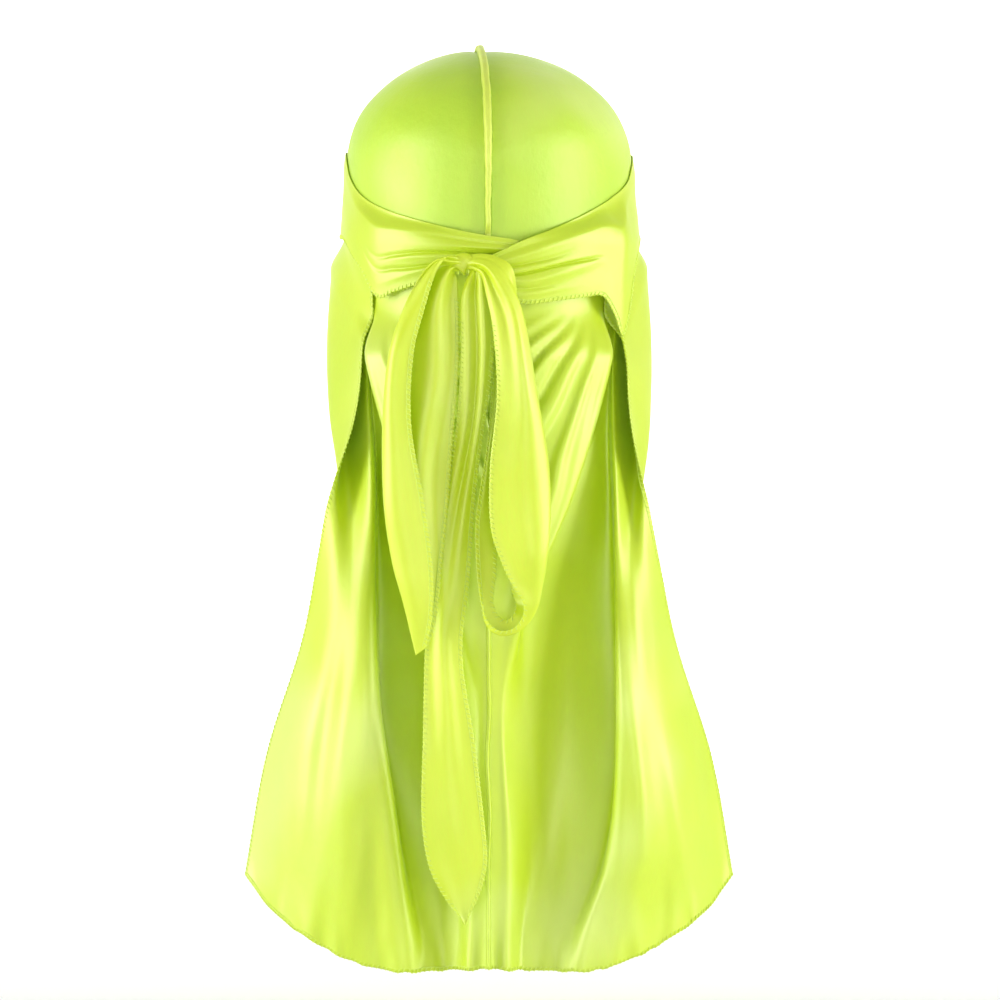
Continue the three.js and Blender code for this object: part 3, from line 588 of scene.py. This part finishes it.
# Each row is a level, drop the share of the way down; then x and y of each fold line, as shares of
# the tail's half width and depth, from the middle out.
tail_levels = curves(
    "drop midX midY cowlX cowlY behindX behindY deepX deepY floorX floorY noseX noseY"
    " turnX turnY swellX swellY freeX freeY", [
        (0.0, 0.25, 0.97, 0.5, 0.72, 0.51, 0.66, 0.52, 0.6, 0.54, 0.5, 0.57, 0.36,
         0.635, -0.08, 0.65, 0.14, 0.535, 0.58),
        (0.1, 0.25, 1.0, 0.5, 0.82, 0.465, 0.7, 0.48, 0.64, 0.5, 0.58, 0.525, 0.54,
         0.63, 0.06, 0.665, 0.28, 0.535, 0.7),
        (0.21, 0.22, 1.02, 0.43, 0.88, 0.405, 0.73, 0.445, 0.64, 0.485, 0.6, 0.515, 0.66,
         0.61, 0.34, 0.655, 0.46, 0.56, 0.78),
        (0.33, 0.16, 1.03, 0.325, 0.95, 0.3, 0.79, 0.42, 0.65, 0.495, 0.6, 0.512, 0.8,
         0.575, 0.68, 0.615, 0.72, 0.635, 0.76),
        (0.47, 0.08, 1.03, 0.165, 1.02, 0.15, 0.88, 0.33, 0.67, 0.505, 0.61, 0.51, 0.9,
         0.575, 0.91, 0.635, 0.84, 0.69, 0.7),
        (0.61, 0.04, 0.99, 0.08, 0.95, 0.16, 0.83, 0.32, 0.68, 0.52, 0.64, 0.515, 0.97,
         0.6, 0.99, 0.68, 0.86, 0.76, 0.64),
        (0.8, 0.05, 0.97, 0.1, 0.93, 0.18, 0.84, 0.32, 0.73, 0.5, 0.74, 0.525, 0.95,
         0.65, 0.96, 0.79, 0.78, 0.91, 0.48),
        (1.0, 0.06, 0.97, 0.12, 0.94, 0.2, 0.9, 0.34, 0.86, 0.46, 0.88, 0.56, 0.93,
         0.7, 0.9, 0.86, 0.7, 1.0, 0.36),
    ])


# How far in the side fold's crease runs, on each side, down the tail
crease_in = {
    -1: curves("drop shift", [
        (0.0, 0.0), (0.18, 1.5), (0.31, 5.7), (0.465, 7.0), (0.61, 10.0), (0.75, 17.0),
        (0.85, 22.0), (0.94, 27.0), (1.0, 30.0),
    ])["shift"],
    1: curves("drop shift", [
        (0.0, 0.0), (0.3, 0.0), (0.6, 0.0), (0.75, 1.5), (0.85, 7.0), (0.94, 18.0), (1.0, 22.0),
    ])["shift"],
}
# How far out the tail's free side edge is shifted, on each side, down the tail
free_shift = {
    -1: curves("drop shift", [
        (0.0, 0.0), (0.04, -2.0), (0.09, -4.0), (0.13, -3.3), (0.2, -3.9), (0.28, -4.2), (0.4, 0.0),
        (0.6, 0.0), (1.0, 0.0),
    ])["shift"],
    1: curves("drop shift", [
        (0.0, 2.0), (0.06, 0.6), (0.104, 0.8), (0.154, 2.0), (0.21, 0.6), (0.3, -2.6), (0.4, -1.0),
        (0.5, 0.0), (0.7, 0.0), (1.0, 0.0),
    ])["shift"],
}


def section_at(drop):
    """The fold lines met at a level, as curves of x and y along the lines."""
    xs = [tail_levels[name + "X"](drop) * TAIL_HALF_WIDTH for name in FOLD_LINES]
    ys = [-tail_levels[name + "Y"](drop) * TAIL_DEPTH for name in FOLD_LINES]
    seam_y = -TAIL_DEPTH * (1.05 - 0.06 * smooth(drop, 0.4, 0.7))
    lines = list(range(-1, OUTERMOST + 1))
    return Curve(lines, [-xs[0], 0.0] + xs), Curve(lines, [ys[0], seam_y] + ys)


hem_curve = Curve([0.0, 0.25, 0.45, 0.64, 0.79, 0.9, 1.0],
                  [-417.5, -419.5, -418.0, -409.5, -399.0, -388.5, -373.0])


def fold_place(side, line, drop, section_x):
    """How far out a fold line hangs at a level, with each side's own lean."""
    spread = 1.25 + 1.35 * smooth(drop, 0.6, 1.0)
    near = math.exp(-(((line - 5.6) / spread) ** 2)) * (1 - smooth(line, 7.5, 9.0))
    x = section_x(line) - crease_in[side](drop) * near
    x += free_shift[side](drop) * smooth(line, 7.6, 9.0)
    if side > 0:
        x += 2.4 * ridges(line, [(7.7, 0.8, 1.0)]) * ridges(drop, [(0.29, 0.07, 1.0)])
    return x


def hem_levels(side):
    lines = [k / 2 for k in range(2 * OUTERMOST + 1)]
    section_x = section_at(1.0)[0]
    shares = [fold_place(side, line, 1.0, section_x) / TAIL_HALF_WIDTH for line in lines]
    return Curve(lines, [hem_curve(share) for share in shares])


hem_level = {side: hem_levels(side) for side in (-1, 1)}

ARMPIT = (67.0, -62.0)


def fan_folds(x, z):
    """Folds that fan out from under the strap's root, down and in towards the middle."""
    reach = math.hypot(x - ARMPIT[0], z - ARMPIT[1])
    lean = math.degrees(math.atan2(ARMPIT[0] - x, ARMPIT[1] - z))
    lean += 3.0 * noise.noise(Vector((x / 30, z / 40, 3.0)))
    wave = math.sin(lean / 10.5 * 2 * math.pi + 0.6)
    sharp = wave + 0.28 * math.sin(lean / 10.5 * 4 * math.pi + 1.5)
    small = 0.35 * math.sin(lean / 4.6 * 2 * math.pi)
    return (sharp + small) * smooth(reach, 4, 60) * (1 - smooth(reach, 150, 240))


# Soft dents in the hanging cloth: the line where each lies, how far it leans, its width in lines,
# its depth in millimetres, and how far down its middle is
tail_dents = {
    -1: [(7.9, 1.6, 0.35, 3.0, 0.72), (7.2, 0.8, 0.3, -2.6, 0.86), (2.6, 1.0, 0.8, 2.6, 0.8),
         (6.6, 0.5, 0.25, 2.4, 0.9)],
    1: [(7.6, 1.4, 0.3, 3.4, 0.9), (7.0, 1.0, 0.3, -2.6, 0.8), (3.0, -2.5, 0.7, 5.0, 0.86),
        (4.4, 0.6, 0.7, -3.0, 0.78), (1.6, 0.0, 0.5, -2.0, 0.75)],
}


def tail_point(side, line, v):
    top = tail_top_lines["top"](line)
    hem = hem_level[side](line)
    z = mix(top, hem, v)
    drop = clamp((TAIL_TOP - z) / (TAIL_TOP - hem), 0.0, 1.0)
    section_x, section_y = section_at(drop)
    x = fold_place(side, line, drop, section_x)
    y = section_y(line)
    gathered = 1 - smooth(line, 1.2, 2.1)
    slack = smooth(drop, 0.02, 0.1) * (1 - smooth(drop, 0.42, 0.6))
    y += 1.5 * fan_folds(x, z) * gathered * slack
    open_cloth = smooth(drop, 0.15, 0.5) * (smooth(line, 5.8, 6.6) + 0.3 * smooth(drop, 0.6, 0.9))
    soft = noise.noise(Vector((x / 21, side * 9.0, z / 170)))
    fine = noise.noise(Vector((x / 9 + z / 60, side * 5.0, z / 80)))
    y += (SOFT_FOLDS * soft + FINE_FOLDS * fine) * open_cloth
    for place, lean, width, depth, low in tail_dents[side]:
        across = (line - place - lean * (drop - 0.9)) / width
        down = (drop - low) / 0.17
        y += depth * math.exp(-across * across - down * down)
    y += 1.5 * math.sin(x / 2.4) * math.exp(-((x / 13) ** 2)) * smooth(drop, 0.78, 1.0)
    near_hem = smooth(drop, 0.94, 1.0)
    ruffle = math.sin(x / 2.6 + 2.5 * noise.noise(Vector((x / 16, side, 0.0))))
    y += HEM_RUFFLE * ruffle * near_hem
    z += 0.35 * math.sin(x / 2.1 + 3 * noise.noise(Vector((x / 14, 5, side)))) * near_hem
    if side > 0:
        # behind the tip of the right strap
        y += 4.0 * smooth(line, 7.2, 8.6) * ridges(drop, [(0.09, 0.055, 1.0)])
    hanging = Vector((x, y, z))
    held = on_head(tail_top_lines["angle"](line), z, tail_top_lines["offset"](line))
    release = tail_top_lines["release"](line)
    slow = 34 - 18 * smooth(line, 5.6, 7.0)
    point = held.lerp(hanging, smooth(-z, -release, slow - release))
    point.x = side * (point.x - HALVES_LAP)
    return point


def make_tail(side, name):
    def place(u, v):
        return tail_point(side, u * OUTERMOST, v)

    piece = cloth_piece("cloth_" + name, 180, 190, place, (0.26, 0.37), 0.4)
    finish_piece(piece, satin, name)
    overlock(name + "_side_edge", place, lambda t: (1.0, t), lambda t: (0.99, t))
    overlock(name + "_hem", place, lambda t: (t, 1.0), lambda t: (t, 0.985))


def tail_seam_point(u, v):
    foot = tail_point(1, 0.0, mix(0.4, 0.998, v))
    foot.x = 0.0
    turn = mix(-1, 1, u)
    uneven = 1 + 0.15 * noise.noise(Vector((v * 30, 1, 0)))
    rise = TAIL_SEAM_HEIGHT * (1 - abs(turn) ** 2.4) * uneven
    wander = 1.1 * noise.noise(Vector((v * 7, 8, 0)))
    return foot + Vector((turn * 1.1 + wander, -0.2 - rise, 0.0))


def make_tail_seam():
    piece = cloth_piece("cloth_tail_seam", 10, 260, tail_seam_point, (0.006, 0.2), 0.35)
    finish_piece(piece, satin, "tail_seam")


# Bow. X and Z are right and down from the knot, Y back from it, as shares of BOW_WIDTH, the
# piece's drop and BOW_DEPTH; a, b and c are the lines across a piece.
BOW_COLUMNS = "along aX aZ aY bX bZ bY cX cZ cY"
SHORT_DROP = 200.0
LONG_DROP = 340.0
LOOP_DROP = 190.0
short_rows = curves(BOW_COLUMNS, [
    (0.000, 0.001, -0.011, -0.10, 0.001, 0.002, -0.20, 0.000, 0.019, -0.03),
    (0.030, -0.050, -0.015, -0.20, -0.068, 0.001, -0.33, -0.056, 0.025, -0.07),
    (0.060, -0.100, -0.012, -0.33, -0.157, -0.002, -0.38, -0.037, 0.045, -0.09),
    (0.100, -0.163, 0.021, -0.45, -0.245, 0.029, -0.38, -0.031, 0.075, -0.10),
    (0.180, -0.238, 0.113, -0.55, -0.359, 0.112, -0.38, -0.025, 0.131, -0.10),
    (0.300, -0.314, 0.239, -0.62, -0.454, 0.228, -0.38, -0.025, 0.248, -0.10),
    (0.450, -0.326, 0.413, -0.65, -0.498, 0.405, -0.38, -0.056, 0.412, -0.12),
    (0.620, -0.244, 0.610, -0.65, -0.498, 0.603, -0.38, -0.094, 0.610, -0.12),
    (0.760, -0.194, 0.759, -0.60, -0.448, 0.754, -0.35, -0.132, 0.755, -0.12),
    (0.880, -0.188, 0.868, -0.55, -0.372, 0.868, -0.33, -0.158, 0.868, -0.15),
    (0.950, -0.207, 0.936, -0.47, -0.328, 0.941, -0.31, -0.183, 0.927, -0.17),
    (1.000, -0.233, 0.977, -0.42, -0.296, 0.995, -0.30, -0.221, 0.972, -0.20),
])
long_rows = curves(BOW_COLUMNS, [
    (0.000, 0.032, 0.008, -0.05, 0.032, 0.003, -0.07, 0.032, -0.003, -0.05),
    (0.020, 0.051, 0.012, -0.10, 0.083, 0.006, -0.16, 0.108, -0.002, -0.11),
    (0.040, 0.020, 0.028, -0.16, 0.089, 0.022, -0.23, 0.159, 0.013, -0.16),
    (0.070, -0.006, 0.049, -0.19, 0.089, 0.045, -0.25, 0.178, 0.037, -0.19),
    (0.110, -0.012, 0.077, -0.17, 0.096, 0.075, -0.25, 0.197, 0.071, -0.17),
    (0.170, -0.012, 0.131, -0.15, 0.096, 0.131, -0.21, 0.197, 0.131, -0.15),
    (0.280, -0.038, 0.235, -0.05, 0.058, 0.235, -0.11, 0.142, 0.235, -0.07),
    (0.345, -0.082, 0.302, 0.05, 0.013, 0.302, -0.01, 0.101, 0.302, 0.04),
    (0.400, -0.127, 0.354, 0.14, -0.019, 0.354, 0.05, 0.076, 0.354, 0.12),
    (0.520, -0.210, 0.474, 0.21, -0.082, 0.474, 0.12, 0.038, 0.474, 0.20),
    (0.640, -0.242, 0.586, 0.25, -0.127, 0.586, 0.14, -0.006, 0.586, 0.25),
    (0.760, -0.254, 0.713, 0.25, -0.095, 0.713, 0.16, 0.070, 0.713, 0.25),
    (0.870, -0.261, 0.833, 0.25, -0.070, 0.832, 0.16, 0.133, 0.833, 0.25),
    (0.930, -0.216, 0.902, 0.25, -0.038, 0.904, 0.20, 0.152, 0.896, 0.25),
    (0.970, -0.127, 0.945, 0.25, -0.006, 0.951, 0.21, 0.108, 0.942, 0.25),
    (1.000, -0.006, 0.982, 0.25, 0.013, 0.990, 0.24, 0.032, 0.979, 0.25),
])
loop_rows = curves(BOW_COLUMNS, [
    (0.000, 0.026, 0.018, -0.12, 0.026, 0.003, -0.23, 0.026, -0.014, -0.10),
    (0.020, 0.070, 0.021, -0.23, 0.083, -0.002, -0.35, 0.096, -0.022, -0.17),
    (0.040, 0.115, 0.036, -0.39, 0.159, 0.007, -0.51, 0.203, -0.015, -0.30),
    (0.080, 0.147, 0.086, -0.47, 0.248, 0.045, -0.61, 0.317, 0.022, -0.35),
    (0.130, 0.191, 0.182, -0.53, 0.367, 0.135, -0.61, 0.349, 0.149, -0.25),
    (0.210, 0.216, 0.355, -0.55, 0.462, 0.353, -0.60, 0.406, 0.357, -0.10),
    (0.290, 0.172, 0.549, -0.60, 0.531, 0.544, -0.60, 0.444, 0.549, -0.05),
    (0.360, 0.178, 0.709, -0.65, 0.544, 0.701, -0.60, 0.406, 0.709, -0.03),
    (0.420, 0.254, 0.809, -0.68, 0.525, 0.810, -0.57, 0.317, 0.810, -0.03),
    (0.455, 0.323, 0.868, -0.68, 0.500, 0.868, -0.55, 0.305, 0.869, -0.05),
    (0.480, 0.380, 0.908, -0.68, 0.475, 0.916, -0.53, 0.336, 0.909, -0.07),
    (0.505, 0.380, 0.942, -0.62, 0.424, 0.956, -0.47, 0.324, 0.938, -0.33),
    (0.530, 0.323, 0.974, -0.60, 0.342, 0.985, -0.46, 0.279, 0.954, -0.35),
    (0.555, 0.235, 0.982, -0.57, 0.241, 0.993, -0.45, 0.235, 0.948, -0.35),
    (0.580, 0.159, 0.958, -0.53, 0.153, 0.967, -0.41, 0.203, 0.927, -0.33),
    (0.610, 0.115, 0.905, -0.45, 0.128, 0.906, -0.36, 0.191, 0.893, -0.29),
    (0.650, 0.090, 0.826, -0.36, 0.134, 0.826, -0.28, 0.210, 0.821, -0.20),
    (0.720, 0.083, 0.687, -0.25, 0.140, 0.688, -0.17, 0.210, 0.682, -0.09),
    (0.810, 0.146, 0.514, -0.10, 0.172, 0.514, -0.06, 0.229, 0.506, 0.03),
    (0.870, 0.177, 0.380, 0.07, 0.216, 0.380, 0.09, 0.267, 0.372, 0.11),
    (0.920, 0.184, 0.239, 0.12, 0.235, 0.233, 0.12, 0.286, 0.228, 0.15),
    (0.960, 0.172, 0.110, 0.12, 0.210, 0.100, 0.11, 0.254, 0.089, 0.14),
    (0.980, 0.121, 0.044, 0.10, 0.146, 0.030, 0.09, 0.172, 0.017, 0.10),
    (0.990, 0.076, 0.020, 0.05, 0.083, 0.009, 0.05, 0.089, -0.001, 0.05),
    (1.000, 0.032, 0.015, 0.01, 0.032, 0.007, 0.01, 0.032, -0.001, 0.01),
])


def bow_point(rows, drop, u, v, pleats):
    t = mix(v, smooth(v, 0, 1), 0.5)
    found = []
    for column, share in (("X", BOW_WIDTH), ("Y", BOW_DEPTH), ("Z", -drop)):
        values = [rows[line + column](t) * share for line in "abc"]
        found.append(Curve([0.0, 0.5, 1.0], values)(u))
    point = KNOT_PLACE + Vector(found)
    point.y += pleats(u, t)
    return point


def short_pleats(u, t):
    """The flap behind is gathered; the flap in front lies smooth."""
    gather = smooth(t, 0.0, 0.07) * (1 - smooth(t, 0.6, 0.98))
    lean = u + 0.02 * math.sin(t * 14)
    behind = ridges(lean, [(0.66, 0.09, -3.0), (0.82, 0.07, 2.8), (0.93, 0.05, -1.0)])
    neck = ridges(u, [(0.12, 0.09, 0.9), (0.3, 0.08, -0.8), (0.46, 0.09, 0.8)])
    neck *= smooth(t, 0.0, 0.04) * (1 - smooth(t, 0.1, 0.3))
    billow = 1.6 * noise.noise(Vector((u * 2.2, t * 5, 1.0)))
    billow += 3.4 * ridges(u, [(0.25, 0.15, 1.0)])
    return -behind * gather - neck - billow * smooth(t, 0.08, 0.3) * (1 - smooth(t, 0.8, 1.0))


def long_pleats(u, t):
    gather = smooth(t, 0.01, 0.06) * (1 - smooth(t, 0.25, 0.65))
    lean = u + 0.05 * math.sin(t * 17)
    folds = ridges(lean, [(0.2, 0.15, 1.9), (0.48, 0.1, -1.6), (0.72, 0.14, 1.6)])
    lower = noise.noise(Vector((u * 2.6, t * 7, 4.0))) * smooth(t, 0.4, 0.6)
    centre = ridges(u, [(0.55, 0.2, 1.6)]) * smooth(t, 0.5, 0.7) * (1 - smooth(t, 0.88, 1.0))
    return -folds * gather + 1.4 * lower - centre


def loop_pleats(u, t):
    front = smooth(t, 0.0, 0.03) * (1 - smooth(t, 0.1, 0.3))
    folds = ridges(u + 0.1 * t, [
        (0.1, 0.07, 1.1), (0.23, 0.06, -1.1), (0.37, 0.07, 1.0), (0.7, 0.1, -0.8),
    ])
    back = smooth(t, 0.7, 0.85) * (1 - smooth(t, 0.92, 0.98))
    round_face = ridges(u, [(0.28, 0.16, 4.2)]) * smooth(t, 0.05, 0.2) * (1 - smooth(t, 0.4, 0.48))
    billow = noise.noise(Vector((u * 1.8, t * 9, 7.0)))
    billow *= smooth(t, 0.1, 0.2) * (1 - smooth(t, 0.4, 0.46))
    return -folds * front + 0.4 * math.sin(u * 12) * back + 2.0 * billow - round_face


def make_bow_piece(rows, drop, pleats, name, across, down, cut, sewn=(0.17, 0.995)):
    """One strand of the bow. Its edges are stitched between the two places in sewn."""

    def place(u, v):
        return bow_point(rows, drop, u, v, pleats)

    piece = cloth_piece("cloth_" + name, across, down, place, cut)
    finish_piece(piece, bow_satin_painted_light, name)
    for edge in (0, 1):
        inner = 0.08 if edge == 0 else 0.92
        overlock(name + "_edge_" + str(edge), place, lambda t, e=edge: (float(e), t),
                 lambda t, e=inner: (e, t), sewn[0], sewn[1])


def knot_point(u, v):
    """The wrap round the bow's middle: a small band pulled tight, its lower side drawn to a point."""
    turn = -u * 2 * math.pi
    front = max(math.cos(math.pi + turn), 0.0)
    pleat = 0.3 * math.sin(v * 3 * math.pi + 0.9 * math.sin(turn)) * front
    fold = 1 - 0.12 * (2 * v - 1) ** 2
    half = 2.4 + 2.9 * front ** 2
    x = half * (2 * v - 1)
    y = (5.6 - 0.9 * front * front) * fold * math.cos(turn) - pleat
    point_share = 1 - 0.75 * math.sqrt((2 * v - 0.8) ** 2 + 0.02)
    height = 4.6 * fold if math.sin(turn) > 0 else 7.0 * point_share
    z = height * math.sin(turn)
    slant = math.radians(12)
    leaning = Vector((math.cos(slant), 0.0, math.sin(slant))) * x
    return KNOT_PLACE + leaning + Vector((-z * math.sin(slant), y, z * math.cos(slant)))


def make_knot():
    piece = cloth_piece("cloth_knot", 72, 36, knot_point, (0.045, 0.014), 0.8)
    finish_piece(piece, bow_satin_painted_light, "knot")


# Building it

make_crown(-1, "crown_left")
make_crown(1, "crown_right")
make_crown_seam()
make_strap(left_strap, left_folds, -1, "strap_left")
make_strap(right_strap, right_folds, 1, "strap_right")
make_tail(-1, "tail_left")
make_tail(1, "tail_right")
make_tail_seam()
make_knot()
make_bow_piece(short_rows, SHORT_DROP, short_pleats, "short_end", 60, 150, (0.05, 0.2))
make_bow_piece(long_rows, LONG_DROP, long_pleats, "long_end", 50, 200, (0.026, 0.34))
make_bow_piece(loop_rows, LOOP_DROP, loop_pleats, "bow_loop", 60, 260, (0.027, 0.38),
               (0.17, 0.93))


# Studio

VIEW_DISTANCE = 2.5
VIEW_WIDTH = 0.53
VIEW_CENTRE = (0.0058, -0.1775)
SENSOR_WIDTH = 36.0
FLOOR_LENGTH = 10.0
FLOOR_WIDTH = 14.0
FLOOR_NEAR_EDGE = -3.4
BACKDROP_AT = 3.2
BACKDROP_BEND = 1.2
BACKDROP_RADIUS = 0.764


def studio_camera():
    lens = bpy.data.cameras.new("camera")
    lens.sensor_width = SENSOR_WIDTH
    lens.lens = SENSOR_WIDTH * VIEW_DISTANCE / VIEW_WIDTH
    lens.clip_end = 50.0
    camera = bpy.data.objects.new("camera", lens)
    camera.location = (VIEW_CENTRE[0], -VIEW_DISTANCE, VIEW_CENTRE[1])
    camera.rotation_euler = (math.pi / 2, 0.0, 0.0)
    bpy.context.scene.collection.objects.link(camera)
    bpy.context.scene.camera = camera


def soft_light(name, place, aim, size, power):
    light = bpy.data.lights.new(name, "AREA")
    light.shape = "RECTANGLE"
    light.size = size[0]
    light.size_y = size[1]
    light.energy = power
    lamp = bpy.data.objects.new(name, light)
    lamp.location = place
    lamp.rotation_euler = (Vector(aim) - Vector(place)).to_track_quat("-Z", "Y").to_euler()
    bpy.context.scene.collection.objects.link(lamp)


def studio_floor():
    """A pale floor that curves up into a backdrop behind the object."""
    mesh = bmesh.new()
    bmesh.ops.create_grid(mesh, x_segments=2, y_segments=60, size=0.5)
    for vert in mesh.verts:
        s = (vert.co.y + 0.5) * FLOOR_LENGTH + FLOOR_NEAR_EDGE
        x = vert.co.x * FLOOR_WIDTH
        bend = clamp(s - BACKDROP_AT, 0.0, BACKDROP_BEND) / BACKDROP_BEND
        turn = bend * math.pi / 2
        y = min(s, BACKDROP_AT) + BACKDROP_RADIUS * math.sin(turn)
        climb = max(s - BACKDROP_AT - BACKDROP_BEND, 0.0) * 2.0
        z = BACKDROP_RADIUS * (1 - math.cos(turn)) + climb
        vert.co = Vector((x, y, z + FLOOR_LEVEL * MM))
    floor = piece_from(mesh, "studio_floor")
    material, tree = new_material("pale_floor")
    face = tree.nodes.new("ShaderNodeBsdfPrincipled")
    face.inputs["Base Color"].default_value = (0.93, 0.93, 0.92, 1.0)
    face.inputs["Roughness"].default_value = 0.9
    out = tree.nodes.new("ShaderNodeOutputMaterial")
    tree.links.new(face.outputs["BSDF"], out.inputs["Surface"])
    floor.data.materials.append(material)


def studio():
    studio_camera()
    studio_floor()
    middle = (0.0, -0.05, -0.15)
    soft_light("left_side", (-1.75, -0.6, -0.05), middle, (0.75, 1.6), 33.0)
    soft_light("right_side", (1.75, -0.6, -0.05), middle, (0.75, 1.6), 33.0)
    soft_light("low_fill", (0.0, -2.7, -0.5), (0.0, 0.0, -0.25), (2.0, 0.8), 30.0)
    soft_light("backdrop_light", (0.0, 2.1, 1.9), (0.0, 3.9, 0.0), (3.0, 1.2), 130.0)
    world = bpy.data.worlds.new("studio_air")
    world.use_nodes = True
    air = world.node_tree.nodes["Background"]
    air.inputs["Color"].default_value = (1.0, 1.0, 1.0, 1.0)
    air.inputs["Strength"].default_value = 0.56
    bpy.context.scene.world = world
    bpy.context.scene.view_settings.view_transform = "Standard"


studio()

bpy.context.view_layer.update()
